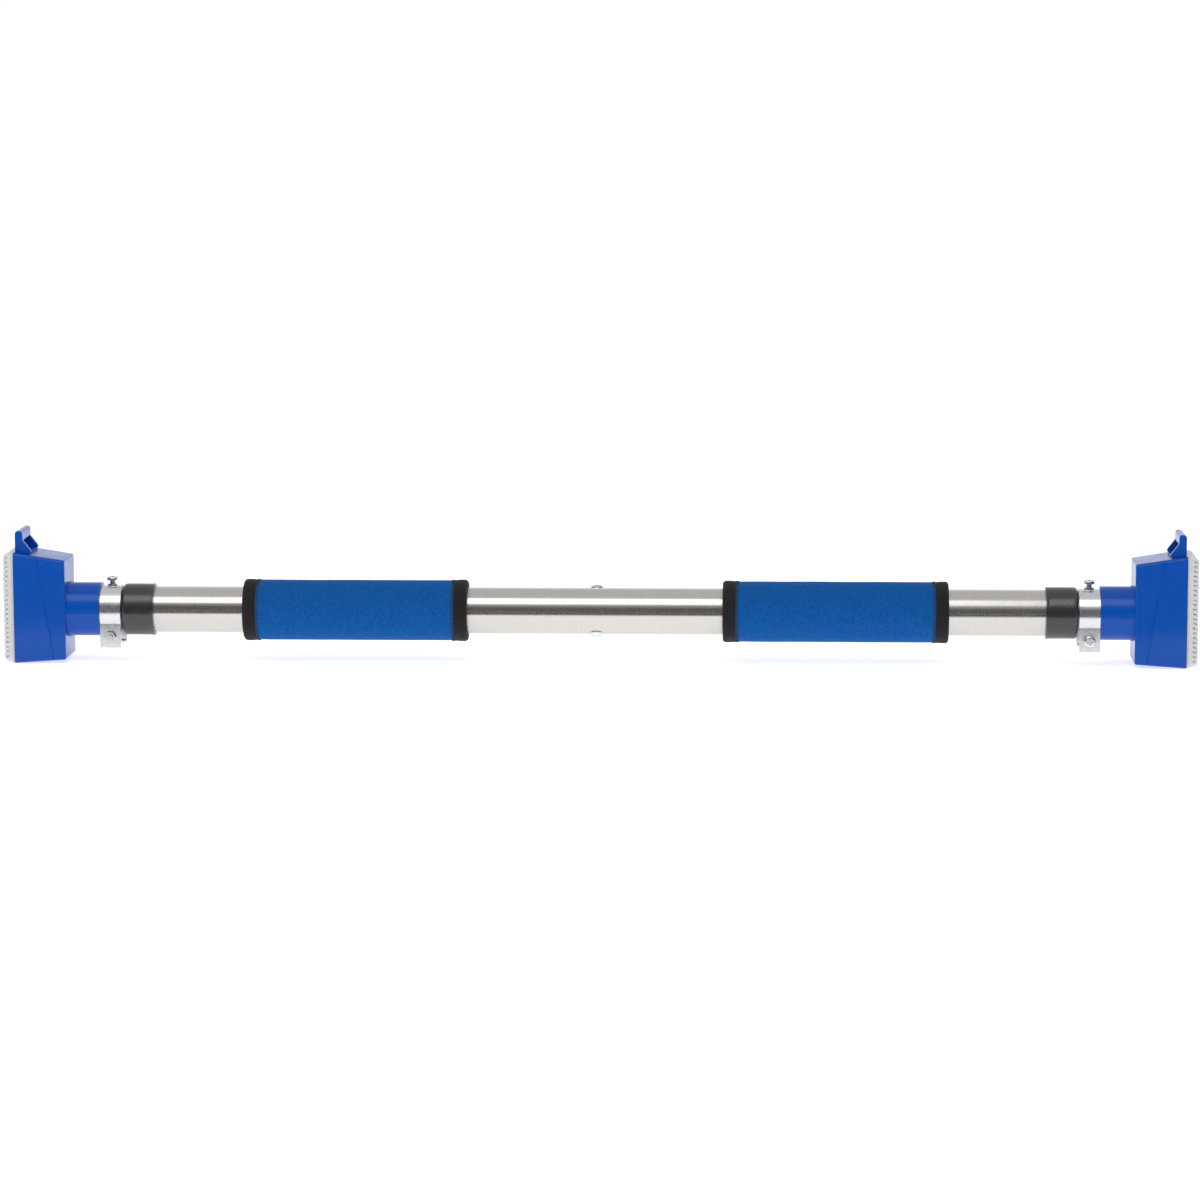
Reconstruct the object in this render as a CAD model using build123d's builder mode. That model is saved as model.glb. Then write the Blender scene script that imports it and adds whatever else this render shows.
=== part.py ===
from build123d import *
import os

# Doorway pull-up bar. A steel tube with two padded grips has a screw-out wall support at each
# end. Turning the tube drives both threaded tubes outwards, one thread being right-handed and the
# other left-handed, so the bar grows at both ends and jams between the door posts.
#
# Frame, in millimetres: X along the bar, Z up, Y across it, the origin on the bar's axis at mid
# length. The pieces of an end are modelled at the +X end. The -X end is the same pieces turned
# half a turn about Z, so its clamp nut faces the way the other end's clamp bolt faces.

# Main tube and what is pressed inside it
TUBE_RADIUS = 16.0
TUBE_WALL = 1.5
TUBE_HALF_LENGTH = 326.0
TUBE_BORE = TUBE_RADIUS - TUBE_WALL
PRESS_GAP = 0.01
LINER_HALF_LENGTH = 90.0
LINER_WALL = 2.0
NUT_LENGTH = 38.0
NUT_INSET = 0.1

# Rivets through the tube and its liner
RIVET_X = -1.0
RIVET_TILT = 20.0
RIVET_SHANK_RADIUS = 2.4
RIVET_HEAD_RADIUS = 5.4
RIVET_HEAD_HEIGHT = 2.4
RIVET_HEAD_DOME = 0.68
RIVET_HEAD_SEAT = 1.0
RIVET_BUTTON_RADIUS = 3.4
RIVET_BUTTON_HEIGHT = 1.2
RIVET_BUTTON_GAP = 0.5

# Grips: a neoprene sleeve with a folded cloth binding round each end
GRIP_LENGTH = 154.4
GRIP_CENTRES = {"left": -166.9, "right": 162.8}
GRIP_RADIUS = 20.75
BINDING_RADIUS = 21.4
BINDING_WIDTH = 9.0
BINDING_THICKNESS = 1.2
GRIP_EDGE_ROUND = 1.4

# End collar, a rubber cap on the tube's end
COLLAR_START = 306.2
COLLAR_END = 328.0
COLLAR_RADIUS = 17.8
COLLAR_LIP_RADIUS = 18.2
COLLAR_LIP_WIDTH = 1.8
COLLAR_SHOULDER = 2.5
COLLAR_HOLE_RADIUS = 12.9

# Threaded tube, its guide bush and its retaining clip
ROD_START = 157.0
ROD_END = 369.7
ROD_RADIUS = 12.5
ROD_BORE = 10.5
JOURNAL_RADIUS = 11.3
JOURNAL_LENGTH = 15.0
ROD_CHAMFER = 0.6
GROOVE_RADIUS = 11.5
GROOVE_WIDTH = 5.0
RUNNING_GAP = 0.05
BUSH_RADIUS = 14.4
BUSH_START = 160.0
BUSH_LENGTH = 11.7
CLIP_START = 158.4
CLIP_WIDTH = 1.2
CLIP_DEPTH = 0.5
CLIP_RADIUS = 13.2
CLIP_MOUTH = 3.0

# Clamp ring on the collet, with its bolt, washer, nut and lock screw
RING_X = 335.8
RING_WIDTH = 14.4
RING_RADIUS = 16.7
RING_WALL = 1.5
LEG_BOTTOM = -25.0
LEG_HALF_SPAN = 14.5
LIP_DEPTH = 4.5
LIP_WIDTH = 12.4
BOSS_RADIUS = 3.5
BOSS_TOP = 17.7
CLAMP_Z = -17.4
M4_RADIUS = 2.0
M4_HOLE_RADIUS = 2.15
M4_TAPPED_RADIUS = 2.05
PAN_RADIUS = 4.0
PAN_HEIGHT = 2.4
PAN_ROUND = 1.3
RECESS_LENGTH = 4.4
RECESS_WIDTH = 1.0
RECESS_DEPTH = 1.5
WASHER_RADIUS = 5.1
WASHER_THICKNESS = 0.9
CLAMP_NUT_FLATS = 7.0
CLAMP_NUT_HEIGHT = 3.2
CLAMP_BOLT_TIP = 19.2
LOCK_HEAD_Z = 20.3
LOCK_TIP_Z = 13.9

# Neck with its slotted collet
COLLET_START = 329.2
COLLET_RADIUS = RING_RADIUS - RING_WALL
COLLET_SLIT = 1.6
COLLET_SLIT_END = 341.0
COLLET_SLIT_ANGLE = 45.0
NECK_START = 343.1
NECK_RADIUS = 18.5
NECK_ROOT_RADIUS = 19.0
NECK_ROOT_LENGTH = 2.5
NECK_ROOT_RAMP = 1.0
NECK_RELIEF_INNER = 15.0
NECK_RELIEF_OUTER = 16.2
NECK_RELIEF_START = 346.0

# Housing, a tapered box split on a slanting plane
HOUSING_START = 366.0
HOUSING_END = 401.0
FACE_HALF_WIDTH = 20.5
FACE_BOTTOM = -32.9
FACE_TOP = 36.0
BASE_HALF_WIDTH = 22.5
BASE_BOTTOM = -35.0
BASE_TOP = 41.5
HOUSING_WALL = 2.5
FACE_WALL = 4.0
CORNER_ROUND = 2.6
FACE_ROUND = 1.4
SEAM_TOP = (385.5, 39.5)
SEAM_BOTTOM = (374.0, -33.5)
SEAM_CHAMFER = 0.35

# Screws inside the housing
POST_Y = 14.5
POST_Z = (-26.5, 30.0)
POST_RADIUS = 3.5
POST_END = 398.3
PILOT_RADIUS = 1.5
SHELL_SCREW_LENGTH = 16.0
SHELL_PILOT_SPARE = 1.0
SHELL_SCREW_CLEARANCE = 1.8
SHELL_HEAD_RADIUS = 3.1
SHELL_HEAD_HEIGHT = 1.4
COUNTERBORE_RADIUS = 3.3
COUNTERBORE_DEPTH = 1.5
THRUST_START = 370.0
THRUST_THICKNESS = 3.0
THRUST_WIDTH = 36.0
THRUST_Z = (-22.0, 24.0)
THRUST_SCREW_Y = 14.5
THRUST_SCREW_Z = (-17.5, 19.5)
THRUST_SCREW_DEPTH = 3.2
THRUST_PILOT_SPARE = 0.2
THRUST_HEAD_RADIUS = 2.8
THRUST_HEAD_HEIGHT = 2.2
RIB_THICKNESS = 1.8
RIB_START = 384.0

# Screw ear on top of the housing
EAR_HALF_WIDTH = 16.0
EAR_FACE = 400.5
EAR_THICKNESS = 5.2
EAR_TOP = 56.0
EAR_BEND = 49.6
EAR_FOOT = 387.2
EAR_WEB = 3.0
EAR_PLATE = 2.5
EAR_ROUND = 2.2
EAR_SINK = 1.0
EAR_RECESS_LEAN = 2.0
EAR_HOLE_Z = 45.8
EAR_HOLE_RADIUS = 2.5

# Rubber wall pad with a slanting tread
PAD_THICKNESS = 8.0
PAD_ROUND = 5.0
TREAD_PITCH = 3.25
TREAD_DEPTH = 4.2
TREAD_WIDTH = 0.9
TREAD_SLANT = 16.0
PEG_RADIUS = 2.95
PEG_LENGTH = 2.4
PEG_Z = (-15.0, 22.0)

TINY = 0.05


def save(name, piece):
    """Label one piece and write its STEP file."""
    piece.label = name
    export_step(piece, f"parts/{name}.step")


def save_both_ends(name, piece):
    """Write an end's piece at +X, and its copy turned half a turn about Z for the other end."""
    save(f"right_{name}", piece)
    save(f"left_{name}", piece.rotate(Axis.Z, 180))


def turned(outline, mode=Mode.ADD):
    """Revolve a closed outline of (x, radius) points about the bar's axis."""
    with BuildSketch(Plane.XZ) as section:
        with BuildLine():
            Polyline(*outline, close=True)
        make_face()
    revolve(section.sketch, axis=Axis.X, mode=mode)


def sleeve(start, end, outer, bore, mode=Mode.ADD):
    """A plain round sleeve on the bar's axis, from x = start to x = end."""
    turned([(start, bore), (end, bore), (end, outer), (start, outer)], mode)


def bar(start, end, radius, mode=Mode.ADD):
    """A plain round bar on the bar's axis, from x = start to x = end."""
    with BuildSketch(Plane.YZ.offset(start)) as section:
        Circle(radius)
    extrude(section.sketch, amount=end - start, mode=mode)


def drill(plane, points, radius, depth):
    """Drill holes of one radius from a plane, down its normal's far side."""
    with BuildSketch(plane) as section:
        with Locations(*points):
            Circle(radius)
    extrude(section.sketch, amount=-depth, mode=Mode.SUBTRACT)


def studs(plane, points, radius, height, mode=Mode.ADD):
    """Round studs of one radius that stand on a plane."""
    with BuildSketch(plane) as section:
        with Locations(*points):
            Circle(radius)
    extrude(section.sketch, amount=height, mode=mode)


def cross_recess(plane, points):
    """Cut a cross recess for a driver into screw heads whose tops lie on a plane."""
    with BuildSketch(plane) as section:
        with Locations(*points):
            Rectangle(RECESS_LENGTH, RECESS_WIDTH)
            Rectangle(RECESS_WIDTH, RECESS_LENGTH)
    extrude(section.sketch, amount=-RECESS_DEPTH, mode=Mode.SUBTRACT)


def circle_edges(piece, radius):
    """The full circular edges of one radius."""
    edges = piece.edges().filter_by(GeomType.CIRCLE)
    return edges.filter_by(lambda edge: abs(edge.radius - radius) < TINY)


def housing_section(distance, inset=0.0):
    """The housing's rectangle at x = HOUSING_START + distance, drawn in by an inset."""
    share = distance / (HOUSING_END - HOUSING_START)
    half_width = FACE_HALF_WIDTH + share * (BASE_HALF_WIDTH - FACE_HALF_WIDTH) - inset
    bottom = FACE_BOTTOM + share * (BASE_BOTTOM - FACE_BOTTOM) + inset
    top = FACE_TOP + share * (BASE_TOP - FACE_TOP) - inset
    with BuildSketch(Plane.YZ.offset(HOUSING_START + distance)) as section:
        with Locations((0, (top + bottom) / 2)):
            Rectangle(2 * half_width, top - bottom)
    return section.sketch


def housing_hollow(start, end):
    """Hollow the housing between two distances from its neck side."""
    loft([housing_section(start, HOUSING_WALL), housing_section(end, HOUSING_WALL)], mode=Mode.SUBTRACT)


def seam_edges(piece, seam):
    """The outer edges that a half of the housing has on the seam plane."""
    in_seam = piece.faces().filter_by(lambda face: abs(face.normal_at().dot(seam.z_dir)) > 1 - TINY / 10)
    return in_seam.sort_by(SortBy.AREA)[-1].outer_wire().edges()


os.makedirs("parts", exist_ok=True)

# ------------------------------------------------------------------ main bar

rivet_axis = Axis((RIVET_X, 0, 0), Vector(0, 0, 1).rotate(Axis.X, -RIVET_TILT))
rivet_plane = Plane(rivet_axis.position, x_dir=(1, 0, 0), z_dir=Vector(1, 0, 0).cross(rivet_axis.direction))
rivet_across = Plane(rivet_axis.position, x_dir=(1, 0, 0), z_dir=rivet_axis.direction)

with BuildPart() as main_tube:
    sleeve(-TUBE_HALF_LENGTH, TUBE_HALF_LENGTH, TUBE_RADIUS, TUBE_BORE)
    with BuildSketch(rivet_across):
        Circle(RIVET_SHANK_RADIUS)
    extrude(amount=2 * TUBE_RADIUS, both=True, mode=Mode.SUBTRACT)
save("main_tube", main_tube.part)

with BuildPart() as tube_liner:
    liner_radius = TUBE_BORE - PRESS_GAP
    liner_bore = TUBE_BORE - LINER_WALL
    sleeve(-LINER_HALF_LENGTH, LINER_HALF_LENGTH, liner_radius, liner_bore)
    with BuildSketch(rivet_across):
        Circle(RIVET_SHANK_RADIUS)
    extrude(amount=2 * TUBE_RADIUS, both=True, mode=Mode.SUBTRACT)
save("tube_liner", tube_liner.part)

with BuildPart() as centre_rivets:
    head_seat = TUBE_RADIUS - RIVET_HEAD_SEAT
    head_top = TUBE_RADIUS + RIVET_HEAD_HEIGHT
    with BuildSketch(rivet_plane):
        with BuildLine():
            Line((0, head_seat), (RIVET_HEAD_RADIUS, head_seat))
            Line((RIVET_HEAD_RADIUS, head_seat), (RIVET_HEAD_RADIUS, TUBE_RADIUS))
            ThreePointArc(
                (RIVET_HEAD_RADIUS, TUBE_RADIUS),
                (RIVET_HEAD_DOME * RIVET_HEAD_RADIUS, TUBE_RADIUS + RIVET_HEAD_DOME * RIVET_HEAD_HEIGHT),
                (0, head_top),
            )
            Line((0, head_top), (0, head_seat))
        make_face()
    revolve(axis=rivet_axis)
    bar(RIVET_X - 2 * RIVET_HEAD_RADIUS, RIVET_X + 2 * RIVET_HEAD_RADIUS, TUBE_RADIUS, Mode.SUBTRACT)
    with BuildSketch(rivet_across.offset(liner_bore - RIVET_BUTTON_HEIGHT)):
        Circle(RIVET_SHANK_RADIUS)
    extrude(amount=head_top - liner_bore)
    with BuildSketch(rivet_across.offset(liner_bore - RIVET_BUTTON_HEIGHT)):
        Circle(RIVET_BUTTON_RADIUS)
    extrude(amount=RIVET_BUTTON_HEIGHT - RIVET_BUTTON_GAP)
    mirror(about=rivet_across)
save("centre_rivets", centre_rivets.part)

for side, centre in GRIP_CENTRES.items():
    grip_start = centre - GRIP_LENGTH / 2
    grip_end = centre + GRIP_LENGTH / 2
    under_binding = BINDING_RADIUS - BINDING_THICKNESS
    with BuildPart() as grip_sleeve:
        sleeve(grip_start + BINDING_THICKNESS, grip_end - BINDING_THICKNESS, under_binding, TUBE_RADIUS)
        sleeve(grip_start + BINDING_WIDTH, grip_end - BINDING_WIDTH, GRIP_RADIUS, TUBE_RADIUS)
    save(f"{side}_grip_sleeve", grip_sleeve.part)

    with BuildPart() as grip_bindings:
        for edge, inward in ((grip_start, 1), (grip_end, -1)):
            inner_face = edge + inward * BINDING_THICKNESS
            inner_edge = edge + inward * BINDING_WIDTH
            turned([
                (edge, TUBE_RADIUS),
                (inner_face, TUBE_RADIUS),
                (inner_face, under_binding),
                (inner_edge, under_binding),
                (inner_edge, BINDING_RADIUS),
                (edge, BINDING_RADIUS),
            ])
        rims = circle_edges(grip_bindings, BINDING_RADIUS).sort_by(Axis.X)
        fillet([rims[0], rims[-1]], radius=GRIP_EDGE_ROUND)
    save(f"{side}_grip_bindings", grip_bindings.part)

# --------------------------------------------------- pieces on the tube's end

with BuildPart() as end_collar:
    sleeve(COLLAR_START, COLLAR_END, COLLAR_RADIUS, TUBE_RADIUS)
    sleeve(TUBE_HALF_LENGTH, COLLAR_END, COLLAR_RADIUS, COLLAR_HOLE_RADIUS)
    lip_end = COLLAR_START + COLLAR_LIP_WIDTH
    turned([
        (COLLAR_START, TUBE_RADIUS),
        (lip_end, TUBE_RADIUS),
        (lip_end, COLLAR_RADIUS),
        (COLLAR_START, COLLAR_LIP_RADIUS),
    ])
    fillet(circle_edges(end_collar, COLLAR_RADIUS).sort_by(Axis.X)[-1], radius=COLLAR_SHOULDER)
save_both_ends("end_collar", end_collar.part)

with BuildPart() as drive_nut:
    nut_end = TUBE_HALF_LENGTH - NUT_INSET
    sleeve(nut_end - NUT_LENGTH, nut_end, TUBE_BORE - PRESS_GAP, ROD_RADIUS + RUNNING_GAP)
save_both_ends("drive_nut", drive_nut.part)

# ------------------------------------------- threaded tube and its inner end

with BuildPart() as threaded_tube:
    journal_end = ROD_START + JOURNAL_LENGTH
    groove_start = RING_X - GROOVE_WIDTH / 2
    groove_end = RING_X + GROOVE_WIDTH / 2
    clip_seat = JOURNAL_RADIUS - CLIP_DEPTH
    turned([
        (ROD_START, ROD_BORE),
        (ROD_END, ROD_BORE),
        (ROD_END, ROD_RADIUS - ROD_CHAMFER),
        (ROD_END - ROD_CHAMFER, ROD_RADIUS),
        (groove_end, ROD_RADIUS),
        (groove_end, GROOVE_RADIUS),
        (groove_start, GROOVE_RADIUS),
        (groove_start, ROD_RADIUS),
        (journal_end + ROD_CHAMFER, ROD_RADIUS),
        (journal_end, ROD_RADIUS - ROD_CHAMFER),
        (journal_end, JOURNAL_RADIUS),
        (CLIP_START + CLIP_WIDTH, JOURNAL_RADIUS),
        (CLIP_START + CLIP_WIDTH, clip_seat),
        (CLIP_START, clip_seat),
        (CLIP_START, JOURNAL_RADIUS),
        (ROD_START, JOURNAL_RADIUS),
    ])
save_both_ends("threaded_tube", threaded_tube.part)

with BuildPart() as guide_bush:
    sleeve(BUSH_START, BUSH_START + BUSH_LENGTH, BUSH_RADIUS, JOURNAL_RADIUS + RUNNING_GAP)
    chamfer(circle_edges(guide_bush, BUSH_RADIUS), length=ROD_CHAMFER)
save_both_ends("guide_bush", guide_bush.part)

with BuildPart() as bush_clip:
    sleeve(CLIP_START, CLIP_START + CLIP_WIDTH, CLIP_RADIUS, clip_seat)
    with BuildSketch(Plane.XY):
        with Locations((CLIP_START + CLIP_WIDTH / 2, CLIP_RADIUS)):
            Rectangle(2 * CLIP_WIDTH, 2 * CLIP_RADIUS / 3)
    extrude(amount=CLIP_MOUTH / 2, both=True, mode=Mode.SUBTRACT)
save_both_ends("bush_clip", bush_clip.part)

# ----------------------------------------------------- clamp ring and screws

ring_start = RING_X - RING_WIDTH / 2
top_at_ring = Plane((RING_X, 0, 0), x_dir=(1, 0, 0), z_dir=(0, 0, 1))
bolt_side = Plane((RING_X, 0, CLAMP_Z), x_dir=(1, 0, 0), z_dir=(0, -1, 0))
nut_side = Plane((RING_X, 0, CLAMP_Z), x_dir=(1, 0, 0), z_dir=(0, 1, 0))

with BuildPart() as lock_ring:
    leg_inner = LEG_HALF_SPAN - RING_WALL
    leg_height = -LEG_BOTTOM
    with BuildSketch(Plane.YZ.offset(ring_start)):
        Circle(RING_RADIUS)
        with Locations((0, LEG_BOTTOM / 2)):
            Rectangle(2 * LEG_HALF_SPAN, leg_height)
        Circle(COLLET_RADIUS, mode=Mode.SUBTRACT)
        with Locations((0, (LEG_BOTTOM - COLLET_RADIUS / 2) / 2)):
            Rectangle(2 * leg_inner, leg_height - COLLET_RADIUS / 2, mode=Mode.SUBTRACT)
    extrude(amount=RING_WIDTH)
    with BuildSketch(Plane.XY.offset(LEG_BOTTOM)):
        with Locations((RING_X, leg_inner - LIP_DEPTH / 2), (RING_X, LIP_DEPTH / 2 - leg_inner)):
            Rectangle(LIP_WIDTH, LIP_DEPTH)
    extrude(amount=RING_WALL)
    studs(top_at_ring.offset(COLLET_RADIUS + TINY), [(0, 0)], BOSS_RADIUS, BOSS_TOP - COLLET_RADIUS - TINY)
    bar(ring_start, ring_start + RING_WIDTH, COLLET_RADIUS, Mode.SUBTRACT)
    drill(top_at_ring.offset(BOSS_TOP), [(0, 0)], M4_TAPPED_RADIUS, BOSS_TOP - COLLET_RADIUS + RING_WALL)
    drill(bolt_side.offset(LEG_HALF_SPAN), [(0, 0)], M4_HOLE_RADIUS, 2 * LEG_HALF_SPAN)
save_both_ends("lock_ring", lock_ring.part)

with BuildPart() as clamp_bolt:
    bolt_seat = LEG_HALF_SPAN + WASHER_THICKNESS
    studs(bolt_side.offset(bolt_seat), [(0, 0)], PAN_RADIUS, PAN_HEIGHT)
    fillet(circle_edges(clamp_bolt, PAN_RADIUS).sort_by(Axis.Y)[0], radius=PAN_ROUND)
    studs(bolt_side.offset(-CLAMP_BOLT_TIP), [(0, 0)], M4_RADIUS, CLAMP_BOLT_TIP + bolt_seat)
    cross_recess(bolt_side.offset(bolt_seat + PAN_HEIGHT), [(0, 0)])
save_both_ends("clamp_bolt", clamp_bolt.part)

with BuildPart() as clamp_washer:
    studs(bolt_side.offset(LEG_HALF_SPAN), [(0, 0)], WASHER_RADIUS, WASHER_THICKNESS)
    drill(bolt_side.offset(bolt_seat), [(0, 0)], M4_TAPPED_RADIUS, WASHER_THICKNESS)
save_both_ends("clamp_washer", clamp_washer.part)

with BuildPart() as clamp_nut:
    with BuildSketch(nut_side.offset(LEG_HALF_SPAN)):
        RegularPolygon(CLAMP_NUT_FLATS / 2, 6, major_radius=False)
    extrude(amount=CLAMP_NUT_HEIGHT)
    drill(nut_side.offset(LEG_HALF_SPAN + CLAMP_NUT_HEIGHT), [(0, 0)], M4_TAPPED_RADIUS, CLAMP_NUT_HEIGHT)
save_both_ends("clamp_nut", clamp_nut.part)

with BuildPart() as lock_screw:
    studs(top_at_ring.offset(LOCK_HEAD_Z), [(0, 0)], PAN_RADIUS, PAN_HEIGHT)
    fillet(circle_edges(lock_screw, PAN_RADIUS).sort_by(Axis.Z)[-1], radius=PAN_ROUND)
    studs(top_at_ring.offset(LOCK_TIP_Z), [(0, 0)], M4_RADIUS, LOCK_HEAD_Z - LOCK_TIP_Z)
    cross_recess(top_at_ring.offset(LOCK_HEAD_Z + PAN_HEIGHT), [(0, 0)])
save_both_ends("lock_screw", lock_screw.part)

# -------------------------------------------------------------- wall support

posts = [(y, z) for y in (-POST_Y, POST_Y) for z in POST_Z]
thrust_screws = [(y, z) for y in (-THRUST_SCREW_Y, THRUST_SCREW_Y) for z in THRUST_SCREW_Z]
housing_length = HOUSING_END - HOUSING_START
inner_wall = Plane.YZ.offset(THRUST_START)
seam_run = Vector(SEAM_TOP[0] - SEAM_BOTTOM[0], 0, SEAM_TOP[1] - SEAM_BOTTOM[1])
seam = Plane((SEAM_TOP[0], 0, SEAM_TOP[1]), x_dir=(0, 1, 0), z_dir=Vector(0, 1, 0).cross(seam_run))

with BuildPart() as housing_outside:
    loft([housing_section(0), housing_section(housing_length)])
    long_edges = housing_outside.edges().filter_by(lambda edge: edge.bounding_box().size.X > housing_length / 2)
    fillet(long_edges, radius=CORNER_ROUND)
    fillet(housing_outside.faces().sort_by(Axis.X)[0].edges(), radius=FACE_ROUND)

with BuildPart() as neck_shell:
    add(housing_outside.part)
    split(bisect_by=seam, keep=Keep.BOTTOM)
    chamfer(seam_edges(neck_shell, seam), length=SEAM_CHAMFER)
    housing_hollow(FACE_WALL, housing_length - HOUSING_WALL)
    bar(COLLET_START, HOUSING_START + TINY, COLLET_RADIUS)
    bar(NECK_START, HOUSING_START + TINY, NECK_RADIUS)
    turned([
        (HOUSING_START - NECK_ROOT_LENGTH, 0),
        (HOUSING_START + TINY, 0),
        (HOUSING_START + TINY, NECK_ROOT_RADIUS),
        (HOUSING_START - NECK_ROOT_LENGTH + NECK_ROOT_RAMP, NECK_ROOT_RADIUS),
        (HOUSING_START - NECK_ROOT_LENGTH, NECK_RADIUS),
    ])
    studs(inner_wall.offset(-TINY), posts, POST_RADIUS, POST_END - THRUST_START + TINY)
    bar(COLLET_START - TINY, THRUST_START + TINY, ROD_RADIUS + RUNNING_GAP, Mode.SUBTRACT)
    sleeve(NECK_RELIEF_START, THRUST_START + TINY, NECK_RELIEF_OUTER, NECK_RELIEF_INNER, Mode.SUBTRACT)
    with BuildSketch(Plane.YZ.offset(COLLET_START - TINY)):
        with Locations(Rotation(0, 0, COLLET_SLIT_ANGLE)):
            Rectangle(2 * RING_RADIUS, COLLET_SLIT)
            Rectangle(COLLET_SLIT, 2 * RING_RADIUS)
    extrude(amount=COLLET_SLIT_END - COLLET_START, mode=Mode.SUBTRACT)
    drill(top_at_ring.offset(RING_RADIUS), [(0, 0)], M4_HOLE_RADIUS, RING_RADIUS - ROD_RADIUS + RING_WALL)
    drill(Plane.YZ.offset(POST_END), posts, PILOT_RADIUS, SHELL_SCREW_LENGTH)
    drill(inner_wall, thrust_screws, PILOT_RADIUS, THRUST_SCREW_DEPTH)
save_both_ends("neck_shell", neck_shell.part)

with BuildPart() as wall_shell:
    add(housing_outside.part)
    split(bisect_by=seam, keep=Keep.TOP)
    chamfer(seam_edges(wall_shell, seam), length=SEAM_CHAMFER)
    housing_hollow(FACE_WALL, housing_length - HOUSING_WALL)
    plate_inside = HOUSING_END - HOUSING_WALL
    rib_length = plate_inside - RIB_START
    middle_z = (BASE_TOP + BASE_BOTTOM) / 2
    with BuildSketch(Plane.YZ.offset(RIB_START)):
        with Locations((0, middle_z)):
            Rectangle(2 * (BASE_HALF_WIDTH - HOUSING_WALL), RIB_THICKNESS)
            Rectangle(RIB_THICKNESS, BASE_TOP - BASE_BOTTOM - 4 * HOUSING_WALL)
    extrude(amount=rib_length + TINY)
    with BuildSketch(Plane.XZ) as ear_outline:
        with BuildLine():
            Polyline(
                (EAR_FACE, BASE_TOP - HOUSING_WALL / 2),
                (EAR_FACE, EAR_TOP),
                (EAR_FACE - EAR_THICKNESS, EAR_TOP),
                (EAR_FACE - EAR_THICKNESS, EAR_BEND),
                (EAR_FOOT, BASE_TOP - HOUSING_WALL / 2 - EAR_SINK),
                close=True,
            )
        make_face()
        fillet(ear_outline.vertices().group_by(Axis.Z)[-1], radius=EAR_ROUND)
    extrude(amount=EAR_HALF_WIDTH, both=True)
    recess_floor = BASE_TOP + TINY
    with BuildSketch(Plane.XZ):
        with BuildLine():
            Polyline(
                (EAR_FACE - EAR_PLATE, recess_floor),
                (EAR_FACE - EAR_PLATE, EAR_BEND),
                (EAR_FOOT, EAR_BEND),
                (EAR_FOOT - EAR_RECESS_LEAN, recess_floor),
                close=True,
            )
        make_face()
    extrude(amount=EAR_HALF_WIDTH - EAR_WEB, both=True, mode=Mode.SUBTRACT)
    drill(Plane.YZ.offset(EAR_FACE), [(0, EAR_HOLE_Z)], EAR_HOLE_RADIUS, EAR_PLATE)
    drill(Plane.YZ.offset(HOUSING_END), posts, SHELL_SCREW_CLEARANCE, HOUSING_WALL)
    drill(Plane.YZ.offset(HOUSING_END), posts, COUNTERBORE_RADIUS, COUNTERBORE_DEPTH)
    drill(Plane.YZ.offset(HOUSING_END), [(0, z) for z in PEG_Z], PEG_RADIUS + TINY, HOUSING_WALL)
save_both_ends("wall_shell", wall_shell.part)

with BuildPart() as shell_screws:
    head_top = HOUSING_END - TINY
    head_base = head_top - SHELL_HEAD_HEIGHT
    studs(Plane.YZ.offset(head_base), posts, SHELL_HEAD_RADIUS, SHELL_HEAD_HEIGHT)
    shank_start = POST_END - SHELL_SCREW_LENGTH + SHELL_PILOT_SPARE
    studs(Plane.YZ.offset(shank_start), posts, PILOT_RADIUS, head_base - shank_start)
    cross_recess(Plane.YZ.offset(head_top), posts)
save_both_ends("shell_screws", shell_screws.part)

with BuildPart() as thrust_plate:
    with BuildSketch(Plane.YZ.offset(THRUST_START)):
        with Locations((0, sum(THRUST_Z) / 2)):
            RectangleRounded(THRUST_WIDTH, THRUST_Z[1] - THRUST_Z[0], CORNER_ROUND)
    extrude(amount=THRUST_THICKNESS)
    drill(Plane.YZ.offset(THRUST_START + THRUST_THICKNESS), thrust_screws, PILOT_RADIUS + TINY, THRUST_THICKNESS)
save_both_ends("thrust_plate", thrust_plate.part)

with BuildPart() as thrust_plate_screws:
    screw_tip = THRUST_START - THRUST_SCREW_DEPTH + THRUST_PILOT_SPARE
    plate_top = THRUST_START + THRUST_THICKNESS
    studs(Plane.YZ.offset(screw_tip), thrust_screws, PILOT_RADIUS, plate_top - screw_tip)
    studs(Plane.YZ.offset(plate_top), thrust_screws, THRUST_HEAD_RADIUS, THRUST_HEAD_HEIGHT)
    cross_recess(Plane.YZ.offset(plate_top + THRUST_HEAD_HEIGHT), thrust_screws)
save_both_ends("thrust_plate_screws", thrust_plate_screws.part)

with BuildPart() as wall_pad:
    pad_face = HOUSING_END + PAD_THICKNESS
    with BuildSketch(Plane.YZ.offset(HOUSING_END)):
        with Locations((0, middle_z)):
            RectangleRounded(2 * BASE_HALF_WIDTH, BASE_TOP - BASE_BOTTOM, CORNER_ROUND)
    extrude(amount=PAD_THICKNESS)
    fillet(wall_pad.faces().sort_by(Axis.X)[-1].edges(), radius=PAD_ROUND)
    groove_count = int((BASE_TOP - BASE_BOTTOM - TREAD_PITCH) / TREAD_PITCH)
    first_groove = middle_z - TREAD_PITCH * (groove_count - 1) / 2
    if groove_count % 2:
        first_groove += TREAD_PITCH / 2
        groove_count -= 1
    with BuildSketch(Plane.XZ):
        for number in range(groove_count):
            with Locations(Location((pad_face, first_groove + number * TREAD_PITCH, 0), (0, 0, -TREAD_SLANT))):
                Rectangle(2 * TREAD_DEPTH, TREAD_WIDTH)
    extrude(amount=BASE_HALF_WIDTH + TINY, both=True, mode=Mode.SUBTRACT)
    studs(Plane.YZ.offset(HOUSING_END - PEG_LENGTH), [(0, z) for z in PEG_Z], PEG_RADIUS, PEG_LENGTH + TINY)
save_both_ends("wall_pad", wall_pad.part)
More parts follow.
